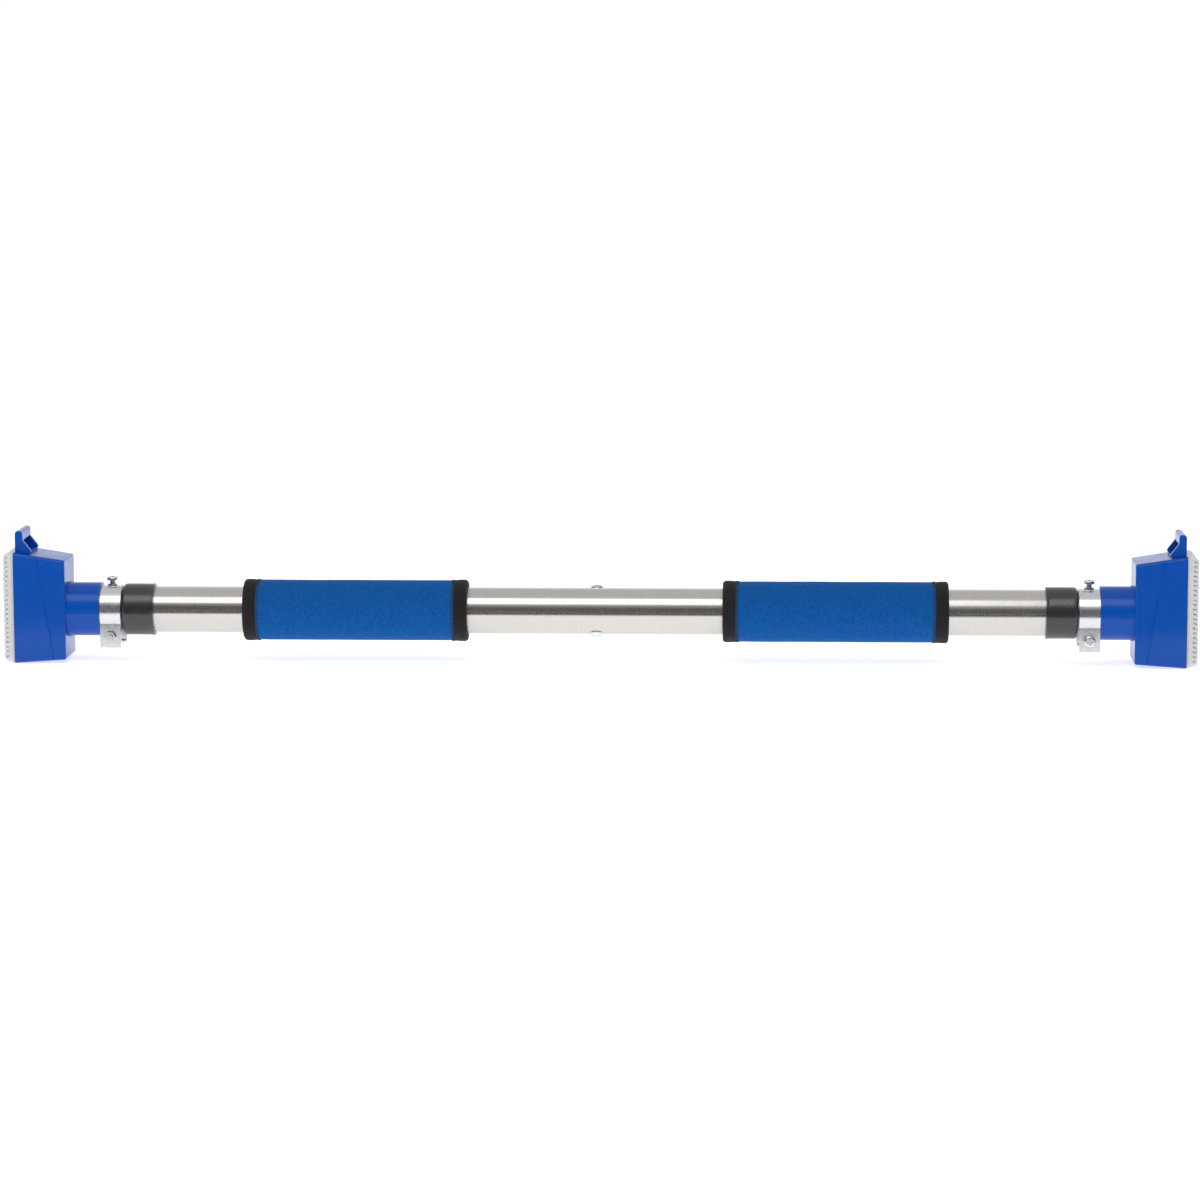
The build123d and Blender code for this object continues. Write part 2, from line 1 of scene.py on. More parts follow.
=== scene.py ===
"""The finished look of a doorway pull-up bar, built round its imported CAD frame.

Lengths are in metres and lie in the frame of the CAD model: X along the bar, Z up, and the origin on the
bar's axis at mid length. Each sub-assembly is a class that reads its places from the frame. The pieces of
an end are made at the +X end, and turned half a turn about Z for the other end.
"""

import logging
import math
from dataclasses import dataclass
from enum import Enum
from typing import Callable, Iterable

import bmesh
import bpy
from mathutils import Matrix, Vector, noise


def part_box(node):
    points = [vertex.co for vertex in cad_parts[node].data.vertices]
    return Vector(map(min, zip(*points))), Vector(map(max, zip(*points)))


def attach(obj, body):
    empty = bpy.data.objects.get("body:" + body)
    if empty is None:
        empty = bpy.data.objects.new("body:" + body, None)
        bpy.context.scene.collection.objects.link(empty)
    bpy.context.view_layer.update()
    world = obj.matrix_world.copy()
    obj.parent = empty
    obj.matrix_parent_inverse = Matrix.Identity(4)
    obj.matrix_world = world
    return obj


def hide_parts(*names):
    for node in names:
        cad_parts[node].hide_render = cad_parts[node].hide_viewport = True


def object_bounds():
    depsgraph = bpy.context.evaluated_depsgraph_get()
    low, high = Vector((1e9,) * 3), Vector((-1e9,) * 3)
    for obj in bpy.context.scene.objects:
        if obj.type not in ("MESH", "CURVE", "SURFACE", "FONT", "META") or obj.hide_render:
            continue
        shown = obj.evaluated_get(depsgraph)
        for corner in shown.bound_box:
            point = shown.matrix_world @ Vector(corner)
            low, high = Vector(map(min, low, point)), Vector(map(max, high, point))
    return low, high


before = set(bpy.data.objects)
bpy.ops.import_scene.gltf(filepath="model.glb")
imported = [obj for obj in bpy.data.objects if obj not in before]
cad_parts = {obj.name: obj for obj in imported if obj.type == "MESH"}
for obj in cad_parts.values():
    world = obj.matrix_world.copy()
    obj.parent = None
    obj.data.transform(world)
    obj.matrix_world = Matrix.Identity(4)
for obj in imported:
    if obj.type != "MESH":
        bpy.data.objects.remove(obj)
cad_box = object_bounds()

MM = 0.001
TURN = 2 * math.pi
PRESS_GAP = 0.02 * MM
UV_NAME = "turning"

Outline = list[tuple[float, float]]
Colour = tuple[float, float, float]

log = logging.getLogger("pull_up_bar")


class End(Enum):
    """The bar's two ends. The value is the turn about Z that takes the +X end's pieces there."""

    RIGHT = 0.0
    LEFT = math.pi

    @property
    def turn(self) -> Matrix:
        """The turn that puts a piece made at the +X end in place."""
        return Matrix.Rotation(self.value, 4, "Z")

    def node(self, name: str) -> str:
        """The full name of one of this end's nodes or bodies."""
        return f"{self.name.lower()}_{name}"


# ---- node graphs


class Graph:
    """Adds nodes to a material's or a modifier's tree and joins them up."""

    def __init__(self, tree: bpy.types.NodeTree) -> None:
        """Start on an empty tree.

        Args:
            tree: The tree, whose nodes are removed.
        """
        self.tree = tree
        tree.nodes.clear()

    def join(self, source: bpy.types.NodeSocket, target: bpy.types.NodeSocket) -> None:
        """Link one socket to another."""
        self.tree.links.new(source, target)

    def add(self, kind: str, inputs: dict | None = None, **settings: object) -> bpy.types.Node:
        """Add a node.

        Args:
            kind: The node's type, such as ShaderNodeBump.
            inputs: Input name or number to a plain value, or to the socket that feeds it.
            **settings: The node's own properties.

        Returns:
            The new node.
        """
        node = self.tree.nodes.new(kind)
        for key, value in settings.items():
            setattr(node, key, value)
        for key, value in (inputs or {}).items():
            if isinstance(value, bpy.types.NodeSocket):
                self.join(value, node.inputs[key])
            else:
                node.inputs[key].default_value = value
        return node

    def math(self, operation: str, *values: object) -> bpy.types.NodeSocket:
        """The result of one Math node on up to three values or sockets."""
        return self.add("ShaderNodeMath", dict(enumerate(values)), operation=operation).outputs[0]

    def remap(self, value: bpy.types.NodeSocket, old: tuple, new: tuple) -> bpy.types.NodeSocket:
        """Map a value's old range on to a new range, clamped at both ends."""
        inputs = {0: value, 1: old[0], 2: old[1], 3: new[0], 4: new[1]}
        return self.add("ShaderNodeMapRange", inputs).outputs[0]

    def blend(self, share: object, first: object, second: object) -> bpy.types.NodeSocket:
        """Mix two colours.

        Args:
            share: The second colour's share, or the socket that gives it.
            first: A colour of three numbers, or a socket.
            second: A colour of three numbers, or a socket.

        Returns:
            The socket of the mixed colour.
        """
        colours = [(*c, 1.0) if isinstance(c, tuple) else c for c in (first, second)]
        inputs = {0: share, 6: colours[0], 7: colours[1]}
        return self.add("ShaderNodeMix", inputs, data_type="RGBA").outputs[2]

    def place(self, stretch: Colour = (1.0, 1.0, 1.0)) -> bpy.types.NodeSocket:
        """Object coordinates, multiplied along each axis."""
        coordinates = self.add("ShaderNodeTexCoord").outputs["Object"]
        return self.add("ShaderNodeMapping", {"Vector": coordinates, "Scale": stretch}).outputs[0]

    def along_surface(self) -> tuple[bpy.types.NodeSocket, bpy.types.NodeSocket]:
        """The distances in metres round and along a turned piece, from its own UV map."""
        unrolled = self.add("ShaderNodeUVMap", uv_map=UV_NAME).outputs[0]
        parts = self.add("ShaderNodeSeparateXYZ", {0: unrolled}).outputs
        return parts[0], parts[1]

    def grain(self, place: bpy.types.NodeSocket, scale: float, detail: float = 2.0) -> bpy.types.NodeSocket:
        """Noise of a given scale, from 0 to 1."""
        inputs = {"Vector": place, "Scale": scale, "Detail": detail, "Roughness": 0.55}
        return self.add("ShaderNodeTexNoise", inputs).outputs["Fac"]

    def ripple(self, distance: bpy.types.NodeSocket, pitch: float) -> bpy.types.NodeSocket:
        """A sine wave of one pitch along a distance."""
        return self.math("SINE", self.math("MULTIPLY", distance, TURN / pitch))

    def bump(self, height: bpy.types.NodeSocket, depth: float, under: object = None) -> bpy.types.NodeSocket:
        """Turn a height from 0 to 1 into a bump.

        Args:
            height: The height's socket.
            depth: How deep a height of 1 is, in metres.
            under: The normal of another bump that this one lies on.

        Returns:
            The socket of the new normal.
        """
        inputs = {"Height": height, "Distance": depth, "Strength": 1.0}
        if under is not None:
            inputs["Normal"] = under
        return self.add("ShaderNodeBump", inputs).outputs[0]


# ---- finishes


@dataclass(frozen=True)
class Finish:
    """What every finish states. A kind of finish adds its own detail to the shader."""

    name: str
    colour: Colour
    roughness: float

    def material(self) -> bpy.types.Material:
        """The finish's material, made the first time that it is asked for."""
        found = bpy.data.materials.get(self.name)
        if found is not None:
            return found
        made = bpy.data.materials.new(self.name)
        made.use_nodes = True
        graph = Graph(made.node_tree)
        inputs = {"Base Color": (*self.colour, 1.0), "Roughness": self.roughness}
        shader = graph.add("ShaderNodeBsdfPrincipled", inputs)
        output = graph.add("ShaderNodeOutputMaterial")
        graph.join(shader.outputs["BSDF"], output.inputs["Surface"])
        self.detail(graph, shader)
        return made

    def detail(self, graph: Graph, shader: bpy.types.Node) -> None:
        """Add this kind of finish's own nodes.

        Args:
            graph: The material's graph.
            shader: Its Principled BSDF.
        """
        raise NotImplementedError

    def mottle(self, graph: Graph, shader: bpy.types.Node, scale: float, depth: float) -> None:
        """Vary the base colour a little from place to place.

        Args:
            graph: The material's graph.
            shader: Its Principled BSDF.
            scale: The noise's scale.
            depth: How much darker the darkest places are, from 0 to 1.
        """
        dark = tuple(channel * (1 - depth) for channel in self.colour)
        patches = graph.remap(graph.grain(graph.place(), scale, 4.0), (0.3, 0.7), (0.0, 1.0))
        graph.join(graph.blend(patches, dark, self.colour), shader.inputs["Base Color"])


@dataclass(frozen=True)
class BrushedTube(Finish):
    """Stainless tube with fine brushing round it, so that it blurs reflections along the bar."""

    stretched: float = 0.8
    depth: float = 0.0001 * MM

    def detail(self, graph: Graph, shader: bpy.types.Node) -> None:
        """Brushing lines, and a reflection that is blurred across them."""
        lines = graph.grain(graph.place((1.0, 0.012, 0.012)), 5200.0, 3.0)
        bands = graph.grain(graph.place((1.0, 0.3, 0.3)), 90.0, 3.0)
        both = graph.math("MULTIPLY_ADD", bands, 0.3, graph.math("MULTIPLY", lines, 0.7))
        spread = self.roughness * 0.1
        gloss = graph.remap(both, (0.35, 0.65), (self.roughness - spread, self.roughness + spread))
        dark = tuple(channel * 0.95 for channel in self.colour)
        tone = graph.blend(graph.remap(both, (0.38, 0.62), (0.0, 1.0)), dark, self.colour)
        tangent = graph.add("ShaderNodeTangent", direction_type="UV_MAP", uv_map=UV_NAME)
        shader.inputs["Metallic"].default_value = 1.0
        shader.inputs["Anisotropic"].default_value = self.stretched
        shader.inputs["Anisotropic Rotation"].default_value = 0.25
        graph.join(tangent.outputs[0], shader.inputs["Tangent"])
        graph.join(gloss, shader.inputs["Roughness"])
        graph.join(tone, shader.inputs["Base Color"])
        graph.join(graph.bump(lines, self.depth), shader.inputs["Normal"])


@dataclass(frozen=True)
class ZincPlate(Finish):
    """Bright zinc plate on pressed or turned steel, with a cloudy gloss and fine handling scratches."""

    def detail(self, graph: Graph, shader: bpy.types.Node) -> None:
        """Clouds in the gloss and the tone, and scratches in the surface."""
        clouds = graph.grain(graph.place(), 420.0, 4.0)
        scratches = graph.grain(graph.place((0.15, 1.0, 1.0)), 3400.0, 2.0)
        gloss = graph.remap(clouds, (0.3, 0.7), (self.roughness * 0.8, self.roughness * 1.3))
        shader.inputs["Metallic"].default_value = 1.0
        self.mottle(graph, shader, 700.0, 0.06)
        graph.join(gloss, shader.inputs["Roughness"])
        graph.join(graph.bump(scratches, 0.0012 * MM), shader.inputs["Normal"])


@dataclass(frozen=True)
class RolledSteel(Finish):
    """Plain rolled steel with a film of oil, for what is inside the bar."""

    def detail(self, graph: Graph, shader: bpy.types.Node) -> None:
        """Rolling lines along the bar and an uneven film."""
        lines = graph.grain(graph.place((0.03, 1.0, 1.0)), 2600.0, 3.0)
        film = graph.grain(graph.place(), 160.0, 3.0)
        gloss = graph.remap(film, (0.3, 0.7), (self.roughness * 0.8, self.roughness * 1.3))
        shader.inputs["Metallic"].default_value = 1.0
        self.mottle(graph, shader, 300.0, 0.18)
        graph.join(gloss, shader.inputs["Roughness"])
        graph.join(graph.bump(lines, 0.008 * MM), shader.inputs["Normal"])


@dataclass(frozen=True)
class MouldedPlastic(Finish):
    """Moulded plastic with a fine mould grain and faint sink marks."""

    grain_depth: float = 0.006 * MM
    shine: float = 0.5

    def detail(self, graph: Graph, shader: bpy.types.Node) -> None:
        """Mould grain over shallow waves, and a gloss that varies with the waves."""
        waves = graph.grain(graph.place(), 60.0, 1.0)
        grain = graph.grain(graph.place(), 3800.0, 2.0)
        gloss = graph.remap(waves, (0.3, 0.7), (self.roughness * 0.85, self.roughness * 1.2))
        shader.inputs["Specular IOR Level"].default_value = self.shine
        self.mottle(graph, shader, 90.0, 0.05)
        graph.join(gloss, shader.inputs["Roughness"])
        sunk = graph.bump(waves, 0.05 * MM)
        graph.join(graph.bump(grain, self.grain_depth, sunk), shader.inputs["Normal"])


@dataclass(frozen=True)
class SatinRubber(Finish):
    """Dark moulded rubber with a dull bloom."""

    def detail(self, graph: Graph, shader: bpy.types.Node) -> None:
        """Bloom in the tone and the gloss, and a slightly uneven skin."""
        bloom = graph.grain(graph.place(), 240.0, 4.0)
        skin = graph.grain(graph.place(), 1900.0, 3.0)
        gloss = graph.remap(bloom, (0.3, 0.7), (self.roughness * 0.8, self.roughness * 1.25))
        shader.inputs["Specular IOR Level"].default_value = 0.8
        self.mottle(graph, shader, 180.0, 0.2)
        graph.join(gloss, shader.inputs["Roughness"])
        graph.join(graph.bump(skin, 0.006 * MM), shader.inputs["Normal"])


@dataclass(frozen=True)
class MilkyRubber(Finish):
    """Soft translucent rubber, milky inside and satin outside."""

    clear: float = 0.12
    scatter: float = 1.0

    def detail(self, graph: Graph, shader: bpy.types.Node) -> None:
        """Light that scatters inside, with a cloudy tone."""
        skin = graph.grain(graph.place(), 900.0, 3.0)
        shader.inputs["Transmission Weight"].default_value = self.clear
        shader.inputs["Subsurface Weight"].default_value = self.scatter
        shader.inputs["Subsurface Radius"].default_value = (1.0, 1.05, 1.1)
        shader.inputs["Subsurface Scale"].default_value = 5.0 * MM
        shader.inputs["IOR"].default_value = 1.43
        self.mottle(graph, shader, 140.0, 0.06)
        graph.join(graph.bump(skin, 0.04 * MM), shader.inputs["Normal"])


@dataclass(frozen=True)
class KnitNeoprene(Finish):
    """The knitted nylon face of neoprene foam."""

    wale: float = 0.62 * MM
    course: float = 0.5 * MM

    def detail(self, graph: Graph, shader: bpy.types.Node) -> None:
        """Columns of knitted loops over slow creases, with a soft sheen, and painted shade in the crease
        hollows and between the loops.
        """
        round_bar, along_bar = graph.along_surface()
        column = graph.math("ABSOLUTE", graph.ripple(along_bar, 2 * self.wale))
        slant = graph.math("MULTIPLY_ADD", column, 0.35 * self.course, round_bar)
        loops = graph.ripple(slant, self.course)
        height = graph.math("MULTIPLY_ADD", column, 0.6, graph.math("MULTIPLY_ADD", loops, 0.2, 0.2))
        creases = graph.grain(graph.place((1.0, 0.5, 0.5)), 520.0, 3.0)
        fuzz = graph.grain(graph.place((1.0, 0.6, 0.6)), 1250.0, 2.0)
        # Painted shade and light: the dark colour serves random fuzz, the crease hollows and the gaps between
        # loops; the light one serves fuzz and the crease tops.
        shade = tuple(channel * 0.66 for channel in self.colour)
        bright = tuple(min(1.0, channel * 1.12) for channel in self.colour)
        # Mostly random fuzz of tone, plus painted shade in the crease hollows and painted light on their
        # tops.
        crease_shade_and_fuzz = graph.math("MULTIPLY_ADD", creases, 0.3, graph.math("MULTIPLY", fuzz, 0.7))
        tone = graph.blend(graph.remap(crease_shade_and_fuzz, (0.36, 0.64), (0.0, 1.0)), shade, bright)
        # Painted shade between the knitted loops: the lower the loop height, the darker the colour.
        threads = graph.blend(graph.remap(height, (0.1, 0.9), (0.25, 1.0)), shade, tone)
        shader.inputs["Sheen Weight"].default_value = 0.12
        shader.inputs["Sheen Roughness"].default_value = 0.45
        shader.inputs["Sheen Tint"].default_value = (0.2, 0.5, 1.0, 1.0)
        shader.inputs["Specular IOR Level"].default_value = 0.1
        graph.join(threads, shader.inputs["Base Color"])
        creased = graph.bump(creases, 0.16 * MM)
        graph.join(graph.bump(height, 0.12 * MM, creased), shader.inputs["Normal"])


@dataclass(frozen=True)
class RibbedTape(Finish):
    """Black woven tape with fine ribs across it."""

    rib: float = 0.55 * MM

    def detail(self, graph: Graph, shader: bpy.types.Node) -> None:
        """Ribs round the bar, crossed by single threads, with lint."""
        round_bar, along_bar = graph.along_surface()
        ribs = graph.math("ABSOLUTE", graph.ripple(along_bar, 2 * self.rib))
        threads = graph.ripple(round_bar, 0.45 * MM)
        height = graph.math("MULTIPLY_ADD", threads, 0.2, graph.math("MULTIPLY_ADD", ribs, 0.6, 0.2))
        lint = graph.remap(graph.grain(graph.place(), 2600.0, 4.0), (0.45, 0.75), (0.0, 1.0))
        pale = tuple(channel * 2.2 for channel in self.colour)
        shader.inputs["Sheen Weight"].default_value = 0.06
        shader.inputs["Sheen Roughness"].default_value = 0.5
        shader.inputs["Specular IOR Level"].default_value = 0.2
        graph.join(graph.blend(lint, self.colour, pale), shader.inputs["Base Color"])
        graph.join(graph.bump(height, 0.16 * MM), shader.inputs["Normal"])


@dataclass(frozen=True)
class SewingThread(Finish):
    """Twisted polyester thread."""

    def detail(self, graph: Graph, shader: bpy.types.Node) -> None:
        """A twist along the thread, and a soft sheen."""
        twist = graph.grain(graph.place((1.0, 0.4, 1.0)), 5200.0, 2.0)
        shader.inputs["Sheen Weight"].default_value = 0.3
        self.mottle(graph, shader, 1800.0, 0.3)
        graph.join(graph.bump(twist, 0.05 * MM), shader.inputs["Normal"])


@dataclass(frozen=True)
class StudioPaper(Finish):
    """A white sheet lit from below, which the bar stands on."""

    glow: float = 0.66

    def detail(self, graph: Graph, shader: bpy.types.Node) -> None:
        """A faint tooth, and the light that comes through."""
        tooth = graph.grain(graph.place(), 300.0, 2.0)
        shader.inputs["Specular IOR Level"].default_value = 0.0
        shader.inputs["Emission Color"].default_value = (1.0, 1.0, 1.0, 1.0)
        shader.inputs["Emission Strength"].default_value = self.glow
        graph.join(graph.bump(tooth, 0.01 * MM), shader.inputs["Normal"])


TUBE_STEEL = BrushedTube("brushed_tube_steel", (0.66, 0.64, 0.615), 0.26)
ZINC = ZincPlate("bright_zinc_plate", (0.76, 0.77, 0.79), 0.22)
INNER_STEEL = RolledSteel("oiled_rolled_steel", (0.46, 0.455, 0.45), 0.34)
BLUE_PLASTIC = MouldedPlastic("blue_moulded_plastic", (0.0, 0.083, 0.47), 0.18, shine=0.27)
NYLON = MouldedPlastic("natural_nylon", (0.72, 0.70, 0.64), 0.45)
BLACK_RUBBER = SatinRubber("black_collar_rubber", (0.024, 0.024, 0.025), 0.24)
PAD_RUBBER = MilkyRubber("milky_pad_rubber", (0.90, 0.91, 0.92), 0.38)
NEOPRENE = KnitNeoprene("blue_knit_neoprene", (0.004, 0.125, 0.47), 0.75)
TAPE = RibbedTape("black_binding_tape", (0.012, 0.012, 0.013), 0.80)
BLACK_THREAD = SewingThread("black_sewing_thread", (0.010, 0.010, 0.012), 0.60)
BLUE_THREAD = SewingThread("blue_sewing_thread", (0.010, 0.085, 0.36), 0.60)
PAPER = StudioPaper("studio_sheet", (0.75, 0.75, 0.75), 0.80)


# ---- making meshes


def new_object(name: str, mesh: bpy.types.Mesh) -> bpy.types.Object:
    """Put a mesh in the scene as an object at the origin."""
    piece = bpy.data.objects.new(name, mesh)
    bpy.context.scene.collection.objects.link(piece)
    return piece


def from_bmesh(name: str, shape: bmesh.types.BMesh, crease: float = 35.0) -> bpy.types.Object:
    """Turn a bmesh into an object with smooth faces.

    Args:
        name: The object's name.
        shape: The bmesh, which is freed.
        crease: Edges that turn by more than this many degrees stay sharp.

    Returns:
        The new object.
    """
    for face in shape.faces:
        face.smooth = True
    for edge in shape.edges:
        edge.smooth = len(edge.link_faces) == 2 and edge.calc_face_angle(0.0) < math.radians(crease)
    mesh = bpy.data.meshes.new(name)
    shape.to_mesh(mesh)
    shape.free()
    return new_object(name, mesh)


def rounded(corners: Iterable[tuple[float, float, float]], steps: int = 5) -> Outline:
    """Round the corners of a closed outline.

    Args:
        corners: The corners in order, each (x, radius from the axis, corner's own radius).
        steps: How many pieces each round is made of.

    Returns:
        The outline's points, with an arc in place of each corner that has a radius.
    """
    corners = list(corners)
    points = []
    for index, (x, r, size) in enumerate(corners):
        here = Vector((x, r))
        if size <= 0:
            points.append((x, r))
            continue
        back = (Vector(corners[index - 1][:2]) - here).normalized()
        on = (Vector(corners[(index + 1) % len(corners)][:2]) - here).normalized()
        half = back.angle(on) / 2
        centre = here + (back + on).normalized() * size / math.sin(half)
        first = here + back * size / math.tan(half) - centre
        last = here + on * size / math.tan(half) - centre
        sweep = math.atan2(first.x * last.y - first.y * last.x, first.dot(last))
        for step in range(steps + 1):
            spoke = Matrix.Rotation(sweep * step / steps, 2) @ first
            points.append(tuple(centre + spoke))
    return points


def divided(outline: Outline, longest: float, loop: bool = True) -> Outline:
    """Divide an outline's long runs, so that no run is longer than a given length."""
    points = []
    ends = outline[1:] + outline[:1] if loop else outline[1:]
    for start, end in zip(outline, ends):
        run = Vector(end) - Vector(start)
        count = max(1, math.ceil(run.length / longest))
        points += [tuple(Vector(start) + run * step / count) for step in range(count)]
    return points if loop else points + [outline[-1]]


def lathe(
    name: str,
    outline: Outline,
    around: int,
    shape: Callable[[float, float, float], float] | None = None,
    loop: bool = True,
    crease: float = 35.0,
) -> bpy.types.Object:
    """Turn an outline about the bar's axis.

    Args:
        name: The object's name.
        outline: Points (x, radius).
        around: How many faces go round.
        shape: Gives the radius at (x, plain radius, angle) where the piece isn't quite round.
        loop: Whether the outline is closed, which makes a closed solid.
        crease: Edges that turn by more than this many degrees stay sharp.

    Returns:
        The new object, whose UV map holds the distances in metres round and along its surface.
    """
    turned = bmesh.new()
    unrolled = turned.loops.layers.uv.new(UV_NAME)
    girth = TURN * max(r for _, r in outline)
    rings = []
    for x, r in outline:
        ring = []
        for step in range(around):
            angle = TURN * step / around
            radius = shape(x, r, angle) if shape else r
            ring.append(turned.verts.new((x, -radius * math.sin(angle), radius * math.cos(angle))))
        rings.append(ring)
    along = [0.0]
    pairs = list(zip(outline, outline[1:] + outline[:1]))
    for start, end in pairs:
        along.append(along[-1] + (Vector(end) - Vector(start)).length)
    for row in range(len(rings) if loop else len(rings) - 1):
        near, far = rings[row], rings[(row + 1) % len(rings)]
        for step in range(around):
            nxt = (step + 1) % around
            face = turned.faces.new((near[step], near[nxt], far[nxt], far[step]))
            spots = ((step, row), (step + 1, row), (step + 1, row + 1), (step, row + 1))
            for corner, (u, v) in zip(face.loops, spots):
                corner[unrolled].uv = (girth * u / around, along[v])
    bmesh.ops.recalc_face_normals(turned, faces=turned.faces)
    return from_bmesh(name, turned, crease)


def smooth_copy(node: str, name: str, edge_round: float, crease: float = 28.0) -> bpy.types.Object:
    """Copy a CAD node's mesh, merge it, and round its sharp edges over.

    Args:
        node: The CAD node.
        name: The new piece's name.
        edge_round: The width of the small round on each sharp edge, or 0 for none.
        crease: Edges that turn by more than this many degrees count as sharp.

    Returns:
        The new object.
    """
    shape = bmesh.new()
    shape.from_mesh(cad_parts[node].data)
    bmesh.ops.remove_doubles(shape, verts=shape.verts, dist=0.0005 * MM)
    bmesh.ops.dissolve_limit(shape, angle_limit=math.radians(0.3), verts=shape.verts, edges=shape.edges)
    piece = from_bmesh(name, shape, crease)
    if edge_round:
        bevel = piece.modifiers.new("edge_round", "BEVEL")
        bevel.width = edge_round
        bevel.segments = 2
        bevel.limit_method = "ANGLE"
        bevel.angle_limit = math.radians(crease)
        bevel.use_clamp_overlap = True
        bevel.harden_normals = True
        settle(piece)
    return piece


def settle(piece: bpy.types.Object) -> None:
    """Apply every modifier of a piece."""
    bpy.context.view_layer.update()
    evaluated = piece.evaluated_get(bpy.context.evaluated_depsgraph_get())
    mesh = bpy.data.meshes.new_from_object(evaluated)
    piece.modifiers.clear()
    piece.data = mesh


def joined(name: str, pieces: list[bpy.types.Object]) -> bpy.types.Object:
    """Join separate pieces of one body into one object."""
    shape = bmesh.new()
    for piece in pieces:
        shape.from_mesh(piece.data)
        bpy.data.objects.remove(piece)
    mesh = bpy.data.meshes.new(name)
    shape.to_mesh(mesh)
    shape.free()
    return new_object(name, mesh)


def dress(
    piece: bpy.types.Object, finish: Finish, body: str, stands_for: Iterable[str] = ()
) -> None:
    """Give a piece its finish and tell the frame about it.

    Args:
        piece: The finished piece.
        finish: Its finish.
        body: The CAD body that it rides on.
        stands_for: The CAD nodes that it replaces.
    """
    piece.data.materials.clear()
    piece.data.materials.append(finish.material())
    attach(piece, body)
    if stands_for:
        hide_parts(*stands_for)
    log.info("%s: %d faces, rides on %s", piece.name, len(piece.data.polygons), body)


def dress_node(node: str, finish: Finish) -> None:
    """Give a CAD node that stays in view, or that shows when the bar comes apart, its finish."""
    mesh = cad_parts[node].data
    mesh.materials.clear()
    mesh.materials.append(finish.material())
    log.info("%s: keeps its CAD mesh", node)


# ---- Geometry Nodes


class Pattern:
    """A Geometry Nodes tree with named inputs, whose results are kept as plain meshes."""

    def __init__(self, name: str, inputs: dict[str, str]) -> None:
        """Start a tree.

        Args:
            name: The tree's name.
            inputs: Each input's name and kind, such as {"Radius": "Float"}.
        """
        self.tree = bpy.data.node_groups.new(name, "GeometryNodeTree")
        new_socket = self.tree.interface.new_socket
        new_socket(name="Geometry", in_out="OUTPUT", socket_type="NodeSocketGeometry")
        for label, kind in {**inputs, "Finish": "Material"}.items():
            new_socket(name=label, in_out="INPUT", socket_type=f"NodeSocket{kind}")
        self.graph = Graph(self.tree)
        self.given = self.graph.add("NodeGroupInput").outputs

    def close(self, geometry: bpy.types.NodeSocket) -> None:
        """End the tree: make its instances real, give them their finish and pass them out."""
        real = self.graph.add("GeometryNodeRealizeInstances", {0: geometry})
        dressed = self.graph.add(
            "GeometryNodeSetMaterial", {"Geometry": real.outputs[0], "Material": self.given["Finish"]}
        )
        smooth = self.graph.add("GeometryNodeSetShadeSmooth", {0: dressed.outputs[0]})
        self.graph.add("NodeGroupOutput", {0: smooth.outputs[0]})

    def make(self, name: str, finish: Finish, **values: float) -> bpy.types.Object:
        """Run the tree once.

        Args:
            name: The new object's name.
            finish: The result's finish.
            **values: The value of each named input.

        Returns:
            An object that holds the result as a plain mesh.
        """
        piece = new_object(name, bpy.data.meshes.new(name))
        modifier = piece.modifiers.new(self.tree.name, "NODES")
        modifier.node_group = self.tree
        values["Finish"] = finish.material()
        for item in self.tree.interface.items_tree:
            if item.in_out == "INPUT":
                modifier[item.identifier] = values[item.name]
        settle(piece)
        return piece


def stitch(graph: Graph, length: object, thickness: object) -> bpy.types.NodeSocket:
    """One stitch that lies along Z: a small stretched ball with the thread's thickness."""
    ball = graph.add("GeometryNodeMeshUVSphere", {"Segments": 8, "Rings": 6, "Radius": 0.5})
    size = graph.add("ShaderNodeCombineXYZ", {0: thickness, 1: thickness, 2: length})
    inputs = {"Geometry": ball.outputs[0], "Scale": size.outputs[0]}
    return graph.add("GeometryNodeTransform", inputs).outputs[0]


def zigzag(graph: Graph, slant: bpy.types.NodeSocket) -> bpy.types.NodeSocket:
    """A slant that leans the other way at every second stitch."""
    parity = graph.math("MODULO", graph.add("GeometryNodeInputIndex").outputs[0], 2.0)
    return graph.math("MULTIPLY", slant, graph.math("MULTIPLY_ADD", parity, -2.0, 1.0))


def stitch_ring() -> Pattern:
    """A ring of zigzag stitches round the bar."""
    sizes = {"Radius": "Float", "Place": "Float", "Count": "Int", "Length": "Float"}
    pattern = Pattern("stitch_ring", {**sizes, "Thread": "Float", "Slant": "Float"})
    graph, given = pattern.graph, pattern.given
    circle = graph.add("GeometryNodeCurvePrimitiveCircle", {0: given["Count"], "Radius": given["Radius"]})
    centre = graph.add("ShaderNodeCombineXYZ", {0: given["Place"]})
    inputs = {"Geometry": circle.outputs[0], "Translation": centre.outputs[0], "Rotation": (0, TURN / 4, 0)}
    ring = graph.add("GeometryNodeTransform", inputs)
    points = graph.add("GeometryNodeCurveToPoints", {0: ring.outputs[0]}, mode="EVALUATED")
    tilt = graph.add("ShaderNodeCombineXYZ", {1: zigzag(graph, given["Slant"])})
    inputs = {
        "Points": points.outputs[0],
        "Instance": stitch(graph, given["Length"], given["Thread"]),
        "Rotation": points.outputs["Rotation"],
    }
    placed = graph.add("GeometryNodeInstanceOnPoints", inputs)
    inputs = {"Instances": placed.outputs[0], "Rotation": tilt.outputs[0], "Local Space": True}
    pattern.close(graph.add("GeometryNodeRotateInstances", inputs).outputs[0])
    return pattern


